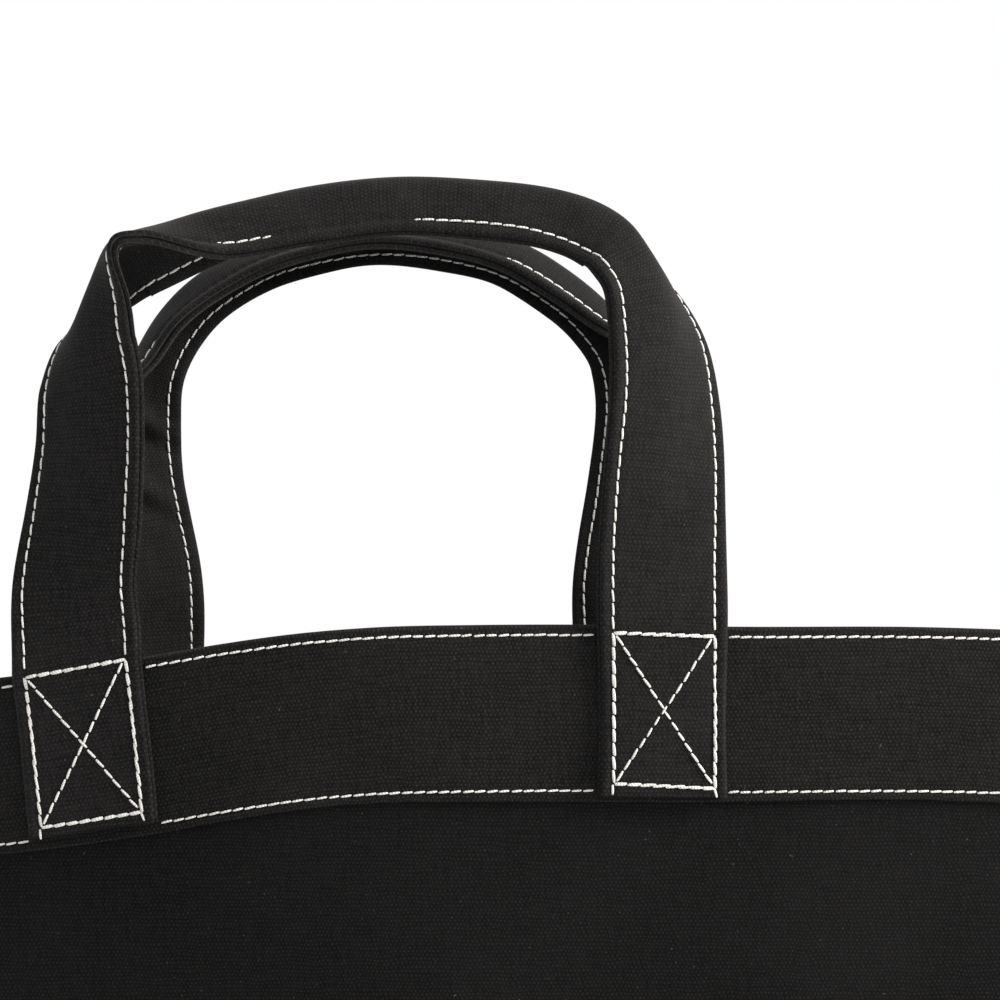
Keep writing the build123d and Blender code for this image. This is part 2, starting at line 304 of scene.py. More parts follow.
WALLS = {
    "front": Wall(0, PANEL_HALF, FRONT_DROOP, lean=0.125),
    "right": Wall(2, SIDE_HALF, RIGHT_DROOP, gusset=13 * MM),
    "back": Wall(4, PANEL_HALF, BACK_DROOP),
    "left": Wall(6, SIDE_HALF, LEFT_DROOP, gusset=16 * MM),
}


# ---------------------------------------------------------------- the shape of the straps

# Rows are: across, out of the middle of the bag, height, in millimetres, for the ridge along
# which the strap is folded; degrees by which the strap's face turns from facing outwards to
# facing up; degrees by which each half is folded in; and millimetres from the strap's middle to
# the ridge. Across is from the left foot to the right foot, as someone sees them who looks at
# that side of the bag from outside.
FRONT_PATH = (
    (-86.5, 112, 286, 3, 2, 0), (-88, 113, 308, 11, 4, 0), (-86, 113, 332, 23, 6, 0),
    (-84.8, 113, 353, 29, 9, 0), (-85.2, 113, 371, 33, 14, 0), (-86.6, 113, 385, 50, 26, 0),
    (-83.8, 112, 398, 82, 42, 0), (-77, 111, 410, 117, 38, 0.5), (-67, 111, 415.5, 115, 43, 0),
    (-45, 111, 423, 93, 71, -1.4), (-20, 110, 429, 90, 74, -2), (8, 110, 432, 90, 74, -2.2),
    (40, 110, 430.5, 90, 74, -2.4), (60, 111, 426.5, 88, 74, -2.8), (73, 112, 420, 80, 66, -2.6),
    (80, 113, 411.5, 70, 46, -2), (84.5, 113, 401, 58, 30, -1), (87, 113, 385, 40, 20, 0),
    (87.5, 113, 365, 29, 12, 0), (85.5, 113, 337, 12, 5, 0), (84.5, 112, 312, 8, 2, 0),
    (84.5, 112, 298, 8, 2, 0),
)
BACK_PATH = (
    (-78.5, 107, 298, 12, 2, 0), (-80, 108, 325, 18, 4, 0), (-84.5, 108, 355, 24, 8, 0),
    (-87.2, 108, 383, 34, 20, 0), (-84, 108, 400, 50, 49, 0), (-75, 108, 413, 62, 62, 1),
    (-62, 108, 425, 69, 62, 1.5), (-42, 108, 437, 74, 57, 1.5), (-20, 108, 443, 74, 56, 1.5),
    (0, 108, 445, 74, 56, 1.5), (20, 108, 443, 74, 56, 1.5), (42, 108, 437, 74, 57, 1.5),
    (62, 108, 425.5, 68, 62, 1.5), (75, 108, 412.5, 62, 63, 1), (83, 108, 397, 56, 62, 0.5),
    (86.5, 108, 380, 40, 38, 0), (86, 108, 358, 26, 13, 0), (80, 108, 325, 16, 4, 0),
    (79.6, 107, 292, 12, 2, 0),
)
# Small folds in a strap: where along and across it, in millimetres, half its length and width,
# the angle it lies at, and how far it sinks from the face
FRONT_CREASES = ((190, 17.4, 13, 1.5, 0, -1.5), (400, -4, 16, 5, 20, 0.5), (120, 6, 14, 5, -30, 0.5))
BACK_CREASES = ((371, 3, 12, 4.0, 62, 2.2), (380, 6, 11, 3.4, 70, -1.4), (395, 2, 14, 4.4, 50, 2.4),
                (404, 5, 13, 4.0, 55, -1.2), (120, 2, 14, 6, 35, 0.8))
ROW_STEP = 1 * MM


class Strap:
    """A strap from its left foot on a wall, up, along its arch and down to its right foot."""

    def __init__(self, wall, feet, path, creases, mirrored=False, raised=(0, 0), tilt=(0, 0)):
        self.wall, self.mirrored, self.creases = wall, mirrored, creases
        self.feet_at = dict(zip((-1, 1), feet))
        self.raised, self.tilt = dict(zip((-1, 1), raised)), dict(zip((-1, 1), tilt))
        path = np.asarray(path, float)
        knots = np.column_stack([np.arange(len(path)), path])
        dense = np.linspace(0, len(path) - 1, 4000)
        along = lengths(curve(knots, dense)[:, :3] * MM)
        rows = np.interp(np.arange(0, along[-1], ROW_STEP), along, dense)
        station = curve(knots, rows)
        self.ridge = station[:, :3] * (MM, -MM, MM)
        self.turn, self.fold = np.radians(station[:, 3]), np.radians(station[:, 4])
        self.ridge_at = station[:, 5] * MM
        foot, head = self.wall_rows(-1, self.ridge[0, 2]), self.wall_rows(1, self.ridge[-1, 2])
        self.feet = foot, head[::-1]
        self.count = len(foot) + len(rows) + len(head)
        self.along = np.arange(self.count) * ROW_STEP

    def wall_rows(self, side, height):
        """Heights of the rows of a foot, from its end up to a height."""
        lowest = self.wall.rim(self.feet_at[side]) - FOOT + self.raised[side]
        return np.linspace(lowest, height, int((height - lowest) / ROW_STEP), endpoint=False)

    def on_wall(self, side, heights, across, depth):
        """Points of a foot, which lies on the wall, at rows of these heights."""
        distance = self.feet_at[side] - side * across
        height, distance = np.broadcast_arrays(heights[:, None], distance)
        slope = self.wall.rim(distance) - self.wall.rim(self.feet_at[side])
        return self.wall.point(distance, height + slope, STRAP_FACE - depth)[0]

    def free(self, across, depth):
        """Points of the part that stands free, at distances across the strap."""
        along = unit(np.gradient(self.ridge, axis=0))
        outwards = np.array([0, -1.0, 0])
        facing = unit(outwards - (along @ outwards)[:, None] * along)
        away = unit(np.cross(facing, along))
        c, s = np.cos(self.turn)[:, None], np.sin(self.turn)[:, None]
        face, inner = facing * c + away * s, facing * s - away * c

        start = self.ridge_at[:, None]
        share = np.linspace(0, 1, 25)
        place = start[..., None] + (across - start)[..., None] * share
        hard = np.tanh((place - start[..., None]) / FOLD_REACH)
        angle = self.fold[:, None, None] * hard
        step = (across - start) / (len(share) - 1)

        def total(values):
            return (values.sum(-1) - (values[..., 0] + values[..., -1]) / 2) * step

        level, drop, end = total(np.cos(angle)), total(np.sin(angle)), angle[..., -1]
        face, inner = face[:, None], inner[:, None]
        out = face * np.cos(end)[..., None] + inner * np.sin(end)[..., None]
        points = (self.ridge[:, None] + inner * level[..., None] - face * drop[..., None]
                  - out * depth[..., None])
        return points * (-1, -1, 1) if self.mirrored else points

    def points(self, across, depth):
        """Points of every row of the strap, for across and depth of shape (rows, columns)."""
        across, depth = np.broadcast_arrays(across, depth)
        across = np.broadcast_to(across, (self.count, across.shape[-1]))
        depth = np.broadcast_to(depth, across.shape)
        first, last = len(self.feet[0]), self.count - len(self.feet[1])
        middle = self.free(across[first:last], depth[first:last])
        heights = self.ridge[:, 2]
        half = len(heights) // 2
        flat = np.concatenate([
            self.on_wall(-1, heights[:half], across[first:first + half], depth[first:first + half]),
            self.on_wall(1, heights[half:], across[first + half:last], depth[first + half:last]),
        ])
        rims = np.where(np.arange(len(heights)) < half, self.wall.rim(self.feet_at[-1]),
                        self.wall.rim(self.feet_at[1]))
        free = ease(heights - rims, 1 * MM, SETTLE)[:, None, None]
        return np.concatenate([
            self.on_wall(-1, self.feet[0], across[:first], depth[:first]),
            flat * (1 - free) + middle * free,
            self.on_wall(1, self.feet[1], across[last:], depth[last:]),
        ])


# ---------------------------------------------------------------- meshes


def piece(name, points, faces, marks, material):
    """A smooth mesh object. marks are texture coordinates in millimetres, one for each point."""
    mesh = bpy.data.meshes.new(name)
    mesh.from_pydata(points.tolist(), [], faces.tolist())
    layer = mesh.uv_layers.new(name="Cloth")
    corner = np.zeros(len(mesh.loops), np.int32)
    mesh.loops.foreach_get("vertex_index", corner)
    layer.data.foreach_set("uv", marks[corner].astype(np.float32).ravel())
    mesh.polygons.foreach_set("use_smooth", np.ones(len(mesh.polygons), bool))
    mesh.materials.append(material)
    mesh.update()
    obj = bpy.data.objects.new(name, mesh)
    bpy.context.collection.objects.link(obj)
    return obj


def grid_faces(index):
    """The quads of a grid of points, given the points' numbers."""
    return np.stack([index[:-1, :-1], index[:-1, 1:], index[1:, 1:], index[1:, :-1]], -1)


def cloth(name, outer, inner, marks, material):
    """A closed piece of cloth between two grids of points, rows along it and columns across.

    Seen from outside, the rows run from left to right and the columns upwards.
    """
    rows, columns = outer.shape[:2]
    index = np.arange(rows * columns).reshape(rows, columns)
    below = index + rows * columns
    rims = [(index[0], below[0]), (index[:, -1], below[:, -1]),
            (index[-1][::-1], below[-1][::-1]), (index[::-1, 0], below[::-1, 0])]
    sides = [np.stack([a[:-1], b[:-1], b[1:], a[1:]], -1) for a, b in rims]
    faces = np.concatenate([grid_faces(index)[..., ::-1].reshape(-1, 4),
                            grid_faces(below).reshape(-1, 4), *sides])
    points = np.concatenate([outer.reshape(-1, 3), inner.reshape(-1, 3)])
    marks = np.concatenate([marks.reshape(-1, 2)] * 2)
    return piece(name, points, faces, marks, material)


def closing(distance, half_thickness):
    """How full a sheet is near its edge: 0 at the edge and 1 from half its thickness in."""
    near = np.clip(distance / half_thickness, 0, 1)
    return np.sqrt(np.maximum(1 - (1 - near)**2, 0.004))


def edge_spaced(low, high, step, edge):
    """Positions from low to high, a step apart, and closer at both ends."""
    fine = np.array([0, 0.05, 0.18, 0.38, 0.65, 1.0]) * edge
    middle = np.linspace(low + edge, high - edge, max(int((high - low) / step), 2))
    return np.concatenate([low + fine, middle[1:-1], (high - fine)[::-1]])


def stitches(name, starts, ends, outs, material, size=1.0):
    """Thread lying on the cloth from each start to each end, its ends sunk in."""
    rings, sides = 9, 8
    t = np.linspace(0, 1, rings)
    t = (1 - np.cos(math.pi * t)) / 2
    arch = np.clip(np.sin(math.pi * t), 0, 1)**0.35
    radius = THREAD * size
    lift = radius * (1.15 * arch - 0.6)
    along = unit(ends - starts)
    outs = unit(outs - (outs * along).sum(-1, keepdims=True) * along)
    across = np.cross(along, outs)
    centre = (starts[:, None] + (ends - starts)[:, None] * t[:, None]
              + outs[:, None] * lift[:, None])
    turn = np.linspace(0, 2 * math.pi, sides, endpoint=False)
    around = across[:, None] * np.cos(turn)[:, None] + outs[:, None] * np.sin(turn)[:, None]
    width = (radius * (0.45 + 0.55 * arch))[:, None, None]
    points = centre[:, :, None] + around[:, None] * width
    count = len(starts)
    index = np.arange(count * rings * sides).reshape(count, rings, sides)
    wrapped = np.concatenate([index, index[..., :1]], -1)
    body = np.stack([wrapped[:, :-1, :-1], wrapped[:, 1:, :-1], wrapped[:, 1:, 1:],
                     wrapped[:, :-1, 1:]], -1).reshape(-1, 4)
    half = sides // 2
    caps = []
    for ring, flip in ((index[:, 0], 1), (index[:, -1], -1)):
        for i in range(half - 1):
            quad = ring[:, [i, i + 1, sides - 2 - i, sides - 1 - i]]
            caps.append(quad[:, ::flip])
    faces = np.concatenate([body, *caps])
    long = np.linalg.norm(ends - starts, axis=-1) / MM
    marks = np.zeros((count, rings, sides, 2))
    marks[..., 0] = t[:, None] * long[:, None, None] + CHANCE.uniform(0, 9, count)[:, None, None]
    marks[..., 1] = turn / (2 * math.pi)
    return piece(name, points.reshape(-1, 3), faces, marks.reshape(-1, 2), material)


def sewn(line, outs, pitch, share=STITCH_SHARE):
    """Starts, ends and outward directions of stitches along a line of points."""
    along = lengths(line)
    count = max(int(round(along[-1] / pitch)), 1)
    first = np.arange(count) * along[-1] / count
    gap = along[-1] / count * (1 - share)
    uneven = CHANCE.normal(0, UNEVEN_LENGTH, (2, count))
    spots = [first + gap / 2 + uneven[0], first + along[-1] / count - gap / 2 + uneven[1]]
    ends = [np.stack([np.interp(spot, along, line[:, i]) for i in range(3)], -1) for spot in spots]
    middle = np.stack([np.interp((spots[0] + spots[1]) / 2, along, outs[:, i])
                       for i in range(3)], -1)
    across = unit(np.cross(unit(ends[1] - ends[0]), middle))
    slant = CHANCE.normal(0, UNEVEN_SIDE, (2, count, 1)) + [[[SLANT]], [[-SLANT]]]
    return ends[0] + across * slant[0], ends[1] + across * slant[1], unit(middle)


def join(rows):
    """Rows of stitches as one: all their starts, ends and outward directions."""
    return [np.concatenate(part) for part in zip(*rows)]


# ---------------------------------------------------------------- materials


class Nodes:
    """Short calls for building a material's nodes."""

    def __init__(self, name):
        self.material = bpy.data.materials.new(name)
        self.material.use_nodes = True
        self.tree = self.material.node_tree
        self.shader = self.tree.nodes["Principled BSDF"]

    def put(self, socket, value):
        if isinstance(value, bpy.types.NodeSocket):
            self.tree.links.new(value, socket)
        else:
            socket.default_value = value

    def math(self, operation, *values):
        node = self.tree.nodes.new("ShaderNodeMath")
        node.operation = operation
        for socket, value in zip(node.inputs, values):
            self.put(socket, value)
        return node.outputs[0]

    def scaled(self, vector, scale):
        node = self.tree.nodes.new("ShaderNodeVectorMath")
        node.operation = "MULTIPLY"
        self.put(node.inputs[0], vector)
        node.inputs[1].default_value = scale
        return node.outputs[0]

    def noise(self, vector, scale, detail=2.0, roughness=0.5):
        node = self.tree.nodes.new("ShaderNodeTexNoise")
        self.put(node.inputs["Vector"], vector)
        node.inputs["Scale"].default_value = scale
        node.inputs["Detail"].default_value = detail
        node.inputs["Roughness"].default_value = roughness
        return node.outputs[0]

    def ramp(self, value, low, high, start=0.0, end=1.0):
        node = self.tree.nodes.new("ShaderNodeMapRange")
        node.interpolation_type = "SMOOTHSTEP"
        for socket, number in zip(node.inputs, (value, low, high, start, end)):
            self.put(socket, number)
        return node.outputs[0]

    def mix(self, share, first, second):
        node = self.tree.nodes.new("ShaderNodeMix")
        node.data_type = "RGBA"
        self.put(node.inputs[0], share)
        self.put(node.inputs[6], first)
        self.put(node.inputs[7], second)
        return node.outputs[2]

    def bump(self, height, distance, strength=1.0):
        node = self.tree.nodes.new("ShaderNodeBump")
        node.inputs["Strength"].default_value = strength
        node.inputs["Distance"].default_value = distance
        self.put(node.inputs["Height"], height)
        return node.outputs[0]

    def marks(self):
        node = self.tree.nodes.new("ShaderNodeUVMap")
        node.uv_map = "Cloth"
        return node.outputs[0]

    def place(self):
        return self.tree.nodes.new("ShaderNodeTexCoord").outputs["Object"]

    def split(self, vector):
        node = self.tree.nodes.new("ShaderNodeSeparateXYZ")
        self.put(node.inputs[0], vector)
        return node.outputs[0], node.outputs[1]


def canvas(name, dark, pale, weave=(1.25, 1.12), lint=0.35, sheen=0.05, grain=0.11 * MM,
           crown_highlight=0.52):
    """Plain woven cotton: a checker of raised yarns with painted highlight on their crowns and
    painted shade between them, uneven yarns, faded patches and lint.
    """
    n = Nodes(name)
    marks, place = n.marks(), n.place()
    across, along = n.split(marks)
    sway = n.math("MULTIPLY", n.math("SUBTRACT", n.noise(marks, 0.12, 4), 0.5), 2.2)
    across, along = n.math("ADD", across, sway), n.math("ADD", along, sway)
    up = n.math("COSINE", n.math("MULTIPLY", across, 2 * math.pi / weave[0]))
    over = n.math("COSINE", n.math("MULTIPLY", along, math.pi / weave[1]))
    ribs = n.math("COSINE", n.math("MULTIPLY", along, 2 * math.pi / weave[1]))
    yarns = n.math("MULTIPLY", n.ramp(n.math("MULTIPLY", up, over), -0.75, 0.55),
                   n.ramp(ribs, -0.8, 0.9, 0.12, 1.0))
    yarns = n.math("MULTIPLY", yarns, n.ramp(n.noise(marks, 0.75, 2), 0.3, 0.7, 0.45, 1.25))
    slubs = n.noise(n.scaled(marks, (0.9, 0.12, 1)), 1.0, 2)
    cross_slubs = n.noise(n.scaled(marks, (0.10, 0.9, 1)), 1.0, 2)
    uneven = n.math("ADD", slubs, cross_slubs)
    fuzz = n.noise(place, 2600, 2, 0.6)
    height = n.math("ADD", n.math("MULTIPLY", yarns, 0.9), n.math("MULTIPLY", uneven, 0.5))
    height = n.math("ADD", height, n.math("MULTIPLY", fuzz, 0.5))
    faded = n.noise(place, 14, 4, 0.55)
    # Painted highlight on the crowns of the raised yarns and painted shade in the hollows between
    # them
    tone = n.math("ADD", n.math("MULTIPLY", yarns, crown_highlight),
                  n.math("MULTIPLY", n.ramp(faded, 0.3, 0.7), 0.14))
    tone = n.math("ADD", tone, n.math("MULTIPLY", n.ramp(uneven, 0.7, 1.3), 0.22))
    tone = n.math("ADD", tone, n.math("MULTIPLY", n.ramp(fuzz, 0.3, 0.75), 0.24))
    colour = n.mix(tone, dark, pale)
    fleck = n.math("MULTIPLY", n.ramp(n.noise(place, 900, 1), 0.76, 0.82), lint)
    colour = n.mix(fleck, colour, (0.12, 0.115, 0.11, 1))
    n.put(n.shader.inputs["Base Color"], colour)
    n.put(n.shader.inputs["Roughness"], n.ramp(uneven, 0.6, 1.4, 0.78, 0.92))
    n.shader.inputs["Specular IOR Level"].default_value = 0.05
    n.shader.inputs["Sheen Weight"].default_value = sheen
    n.shader.inputs["Sheen Roughness"].default_value = 0.45
    n.shader.inputs["Sheen Tint"].default_value = (0.75, 0.73, 0.72, 1)
    n.put(n.shader.inputs["Normal"], n.bump(height, grain))
    return n.material


def thread(name):
    """Twisted white cotton thread, with painted highlight on its plies and painted shade in the
    grooves between them.
    """
    n = Nodes(name)
    marks, place = n.marks(), n.place()
    along, around = n.split(marks)
    twist = n.math("ADD", n.math("MULTIPLY", along, 2 * math.pi / 0.9),
                   n.math("MULTIPLY", around, 2 * math.pi))
    ply = n.math("SINE", twist)
    soil = n.noise(place, 120, 3)
    fuzz = n.noise(place, 6000, 2)
    # Painted highlight on the crowns of the plies and painted shade in the grooves of the twist
    tone = n.math("ADD", n.math("MULTIPLY", n.ramp(ply, -1, 1), 0.45),
                  n.math("MULTIPLY", n.ramp(soil, 0.3, 0.7), 0.35))
    n.put(n.shader.inputs["Base Color"], n.mix(tone, (0.42, 0.405, 0.38, 1), (0.74, 0.73, 0.70, 1)))
    n.put(n.shader.inputs["Roughness"], n.ramp(fuzz, 0.2, 0.8, 0.6, 0.85))
    n.shader.inputs["Sheen Weight"].default_value = 0.2
    height = n.math("ADD", n.math("MULTIPLY", ply, 0.6), n.math("MULTIPLY", fuzz, 0.4))
    n.put(n.shader.inputs["Normal"], n.bump(height, 0.10 * MM))
    return n.material


BODY = canvas("body canvas", (0.0005, 0.0005, 0.0005, 1), (0.0118, 0.0113, 0.0113, 1),
              sheen=0.03)
# The band is the body's black canvas painted paler: painted light, for the light that the band
# catches
BAND = canvas("band canvas", (0.0006, 0.0005, 0.0005, 1), (0.0195, 0.0187, 0.0182, 1),
              sheen=0.03)
# The straps are the same black canvas painted paler still: painted light, for the light that they
# catch from the upper right
WEBBING = canvas("strap canvas", (0.0006, 0.0005, 0.0005, 1), (0.0235, 0.0222, 0.0220, 1),
                 sheen=0.08, grain=0.085 * MM, crown_highlight=0.40)
TAPE = canvas("binding tape", (0.001, 0.0009, 0.0009, 1), (0.014, 0.0135, 0.0135, 1),
              weave=(0.8, 0.7))
COTTON = thread("white thread")


# ---------------------------------------------------------------- the bag


def along_wall(wall, step=2 * MM):
    """Distances along a wall, closer at its soft corners."""
    bend = wall.reach - CORNER_ROUND
    corner = np.linspace(0, CORNER_ROUND, 12)
    middle = np.linspace(-bend, bend, int(2 * bend / step))
    fine = wall.reach - np.array([0.35, 0.9, 1.6]) * MM
    return np.unique(np.round(np.concatenate(
        [-wall.reach + corner, middle, wall.reach - corner, fine, -fine]), 7))


def panel(name, wall):
    """The cloth of one side, from the base to just under the fold of its rim band."""
    distance = along_wall(wall)[:, None]
    top = wall.rim(distance) - UNDER_FOLD
    share = np.concatenate([np.linspace(0, 0.06, 8), np.linspace(0.06, 1, 150)[1:]])[None]
    height = top * share
    outer, _ = wall.point(distance, height)
    inner, _ = wall.point(distance, height, -PANEL_CLOTH)
    marks = np.stack(np.broadcast_arrays(distance, height), -1) / MM
    obj = cloth(f"{name}_wall", outer, inner, marks, BODY)
    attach(obj, "bag")
    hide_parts(f"{name}_panel")


def pucker(distance, down, rows, depth=0.42 * MM):
    """How far stitch rows pull the cloth in, deepest at the ends of the stitches."""
    sewn_in = sum(np.exp(-((down - row) / (1.15 * MM))**2) for row in rows)
    return depth * sewn_in * (0.72 + 0.28 * np.cos(2 * math.pi * distance / RIM_PITCH))


def band_shape(wall, distance, down):
    """How far either leaf of a rim band stands off its flat place: swell, slack and puckers."""
    share = np.clip((down - UPPER_ROW) / (LOWER_ROW - UPPER_ROW), 0, 1)
    slack = wall.fine(distance * 1.7, down * 2.2)
    return (0.55 * MM * np.sin(math.pi * share) + 0.22 * MM * slack
            - pucker(distance, down, (UPPER_ROW, LOWER_ROW)))


def band(name, wall):
    """The folded strip round the rim: an outer leaf, a soft fold over the top, an inner leaf."""
    distance = along_wall(wall, 1.0 * MM)[:, None]
    radius = (LEAF_FACE - LEAF_INSIDE) / 2
    fold = np.linspace(0, math.pi, 15)[1:-1]
    lengths_down = np.concatenate([
        BAND_WIDTH - np.array([0, 0.05, 0.2, 0.45, 0.8, 1.3]) * MM,
        np.linspace(BAND_WIDTH - 2 * MM, BAND_WIDTH - 5 * MM, 6),
        np.linspace(BAND_WIDTH - 7 * MM, 7 * MM, 14),
        np.linspace(6 * MM, radius, 8)])
    k = len(lengths_down)
    down = np.concatenate([lengths_down, radius * (1 - np.sin(fold)), lengths_down[::-1]])[None]
    middle = (LEAF_FACE + LEAF_INSIDE) / 2
    face = np.concatenate([np.full(k, LEAF_FACE), middle + radius * np.cos(fold),
                           np.full(k, LEAF_INSIDE)])[None]
    within = np.concatenate([np.full(k, LEAF_FACE - LEAF), middle + (radius - LEAF) * np.cos(fold),
                             np.full(k, LEAF_INSIDE + LEAF)])[None]
    lower = np.concatenate([lengths_down, radius - (radius - LEAF) * np.sin(fold),
                            lengths_down[::-1]])[None]
    outwards = np.concatenate([np.ones(k), np.cos(fold), -np.ones(k)])[None]
    shape = band_shape(wall, distance, down) * outwards
    edge = closing(BAND_WIDTH - down, LEAF / 2)
    centre, thick = (face + within) / 2, (face - within) / 2 * edge
    uneven = 0.25 * MM * wall.broad(distance * 2, down) * (down > 25 * MM)
    rim = wall.rim(distance)
    outer, _ = wall.point(distance, rim - down + uneven, centre + thick + shape)
    inner, _ = wall.point(distance, rim - lower + uneven, centre - thick + shape)
    over = np.concatenate([-lengths_down, radius * (fold - math.pi / 2) * 0.6,
                           lengths_down[::-1]])[None]
    marks = np.stack(np.broadcast_arrays(distance, over), -1) / MM
    obj = cloth(f"{name}_band", outer, inner, marks, BAND)
    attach(obj, "bag")
    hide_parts(f"{name}_rim_band")


def wall_line(wall, start, end, down, outside=True):
    """A line along a wall at a depth below its rim, on the outer or the inner leaf."""
    distance = np.linspace(start, end, 400)
    shape = band_shape(wall, distance, np.float64(down)) * (1 if outside else -1)
    face = LEAF_FACE if outside else LEAF_INSIDE
    points, outs = wall.point(distance, wall.rim(distance) - down, face + shape)
    return points, outs if outside else -outs


def rim_rows(name, wall, feet):
    """Rows of stitches along the rim band, outside and inside, stopped at the handles."""
    end = wall.reach - CORNER_MARGIN
    clear = BACKING_HALF + STRAP_MARGIN
    spans = [(-end, end)]
    if feet:
        left, right = feet
        spans = [(-end, left - clear), (left + clear, right - clear), (right + clear, end)]
    for row, down in (("upper", UPPER_ROW), ("lower", LOWER_ROW)):
        made = [sewn(*wall_line(wall, a, b, down), RIM_PITCH) for a, b in spans]
        made.append(sewn(*wall_line(wall, -end, end, down, False), RIM_PITCH))
        obj = stitches(f"{name}_{row}_row", *join(made), COTTON)
        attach(obj, "bag")
        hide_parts(f"{name}_rim_{row}_stitching")


def base(walls):
    """The bottom, a sheet filled in between the lower edges of the four walls."""
    front, right, back, left = (wall.point(along_wall(wall), 0.0)[0] for wall in walls)
    front, back = front[:, None], back[::-1][:, None]
    left, right = left[::-1][None], right[None]
    across, back_to = front[..., :1], right[..., 1:2]
    u = (across - across[:1]) / (across[-1:] - across[:1])
    v = (back_to - back_to[:, :1]) / (back_to[:, -1:] - back_to[:, :1])
    sheet = (front * (1 - v) + back * v + left * (1 - u) + right * u
             - front[:1] * (1 - u) * (1 - v) - front[-1:] * u * (1 - v)
             - back[:1] * (1 - u) * v - back[-1:] * u * v)
    inwards = [np.linalg.norm(sheet - edge, axis=-1) for edge in (front, back, left, right)]
    flat = 1.0
    for distance in inwards:
        flat = flat * (1 - np.clip(1 - distance / BASE_ROUND, 0, 1)**2)
    sag = BASE_SAG * np.abs(walls[0].fine(sheet[..., 0], sheet[..., 1]))
    sag = sag * ease(np.min(inwards, axis=0), 10 * MM, 40 * MM)
    sheet[..., 2] = BASE_ROUND / 3 * (1 - flat) + sag
    sheet = sheet[::-1]
    obj = cloth("base", sheet, sheet + (0, 0, PANEL_CLOTH), sheet[..., :2] / MM, BODY)
    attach(obj, "bag")
    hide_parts("base_panel")


def binding(name, wall, after):
    """A tape that covers the seam inside a corner, from the base up to the rim band."""
    half = 8  # points on each side of the corner
    away = np.concatenate([np.linspace(-TAPE_HALF, -TAPE_CORNER, half),
                           np.linspace(TAPE_CORNER, TAPE_HALF, half)])
    high = wall.rim(np.float64(wall.reach)) - BAND_WIDTH - 1.5 * MM
    height = np.linspace(TAPE_LOW, high, 120)[:, None]
    edge = closing(TAPE_HALF - np.abs(away), 0.7 * MM)
    middle = -PANEL_CLOTH - TAPE_GAP - TAPE_CLOTH / 2
    sides = []
    for offset in (-PANEL_CLOTH - TAPE_GAP, -PANEL_CLOTH - TAPE_GAP - TAPE_CLOTH):
        depth = middle + (offset - middle) * edge
        first = wall.point(wall.reach + away[None, :half], height, depth[None, :half])[0]
        last = after.point(away[None, half:] - after.reach, height, depth[None, half:])[0]
        sides.append(np.concatenate([first, last], 1))
    marks = np.stack(np.broadcast_arrays(away[None], height), -1) / MM
    obj = cloth(f"{name}_binding", sides[0].transpose(1, 0, 2), sides[1].transpose(1, 0, 2),
                marks.transpose(1, 0, 2), TAPE)
    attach(obj, "bag")
    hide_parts(f"{name}_seam_binding")


# ---------------------------------------------------------------- the handles


def strap_slack(strap, along, across):
    """How far a strap's cloth sinks from its even shape as it gives here and there."""
    sunk = 0.16 * MM * WAVER(along * 1.3, across * 2.4)
    for at, side, long, wide, angle, depth in strap.creases:
        c, s = math.cos(math.radians(angle)), math.sin(math.radians(angle))
        u, v = along / MM - at, across / MM - side
        sunk = sunk + depth * MM * np.exp(-((u * c + v * s) / long)**2 - ((v * c - u * s) / wide)**2)
    return sunk


def strap_dimple(along, across):
    """How far the stitch rows pull a strap's face in, deepest at the ends of the stitches."""
    row = np.exp(-((np.abs(across) - STRAP_ROW) / (1.1 * MM))**2)
    return 0.45 * MM * row * (0.7 + 0.3 * np.cos(2 * math.pi * along / STRAP_PITCH))


def strap_strip(name, strap, half, top, outward, nodes):
    """One strip of a strap, from foot to foot, with its stitch rows drawn in."""
    across = edge_spaced(-half, half, 1.0 * MM, STRIP / 2)
    across = np.unique(np.concatenate([across, *(
        side * STRAP_ROW + np.array([-1.2, -0.6, 0, 0.6, 1.2]) * MM for side in (-1, 1))]))[None]
    along = strap.along[:, None]
    waver = 0.30 * MM * WAVER(along * 1.0, along * 0 + top)
    width = across * (1 + waver / half)
    hem = -0.22 * MM * np.exp(-((np.abs(across) - half + 1.5 * MM) / (0.9 * MM))**2)
    slack = strap_slack(strap, along, across)
    drawn = strap_dimple(along, across) + hem
    end = np.minimum(along, along[-1] - along)
    full = closing(half - np.abs(across), STRIP / 2) * closing(end, STRIP / 2)
    middle = top + STRIP / 2
    over = middle - STRIP / 2 * full + slack + (drawn if outward else 0)
    under = middle + STRIP / 2 * full + slack - (0 if outward else drawn)
    outer, inner = strap.points(width, over), strap.points(width, under)
    marks = np.stack(np.broadcast_arrays(across, along), -1) / MM
    obj = cloth(name, outer[:, ::-1], inner[:, ::-1], marks[:, ::-1], WEBBING)
    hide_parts(*nodes)
    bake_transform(obj)


def buried(strap, parts):
    """How far the stitches of one row lie inside the cloth, for every row of the strap."""
    start, count = len(strap.feet[0]), len(strap.ridge)
    across = strap.ridge[:, 0]
    hidden = np.zeros(strap.count)
    for low, high in parts:
        begun = ease(across, (low - 2) * MM, low * MM)
        ended = ease(across, high * MM, (high + 2) * MM)
        inside = begun * (1 - ended)
        hidden[start:start + count] += inside * (strap.ridge[:, 2] > BURIED_HEIGHT)
    return BURIED_DEPTH * hidden[:, None]


def strap_line(strap, across, first, last, outward=True, parts=()):
    """A line of points along a strap's face or back, and the directions out of it."""
    wide = np.array([[across - 0.3 * MM, across, across + 0.3 * MM]])
    along = strap.along[:, None]
    depth, sunk = strap_slack(strap, along, wide), strap_dimple(along, wide) + buried(strap, parts)
    if outward:
        depth = depth + sunk
    else:
        depth = depth + BACKING_DEPTH + STRIP - sunk
    points = strap.points(wide, depth)
    chosen = (strap.along >= first) & (strap.along <= last)
    line = points[:, 1]
    outs = unit(np.cross(points[:, 2] - points[:, 0], np.gradient(line, axis=0)))
    return line[chosen], (outs if outward else -outs)[chosen]


